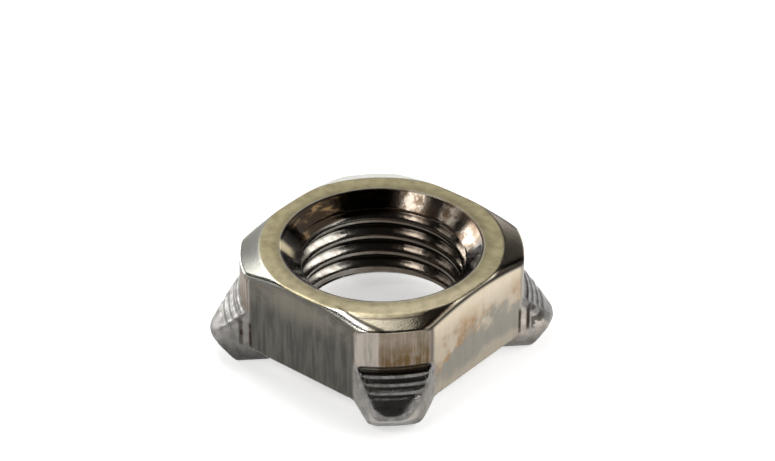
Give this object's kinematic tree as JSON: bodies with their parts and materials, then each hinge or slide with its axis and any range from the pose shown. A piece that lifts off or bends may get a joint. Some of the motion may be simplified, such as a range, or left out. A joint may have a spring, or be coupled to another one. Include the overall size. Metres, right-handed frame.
{
  "type": "square weld nut",
  "caption": "Square weld nut with a countersunk threaded bore, truncated chamfered corners and a ridged welding foot sloping out under each corner.",
  "frame": {"origin": "on the axis of the bore, in the plane of the four foot pads", "axes": "+Z along the bore, up from the feet to the top face; +X and +Y square to the flats"},
  "size_m": [0.0208, 0.0208, 0.0087],
  "materials": {
    "steel": "bare cold-formed steel, satin on the top ring, polished in the countersink and thread, with light rust stains on the sides"
  },
  "bodies": {
    "root": {"nut": "steel"}
  },
  "joints": []
}
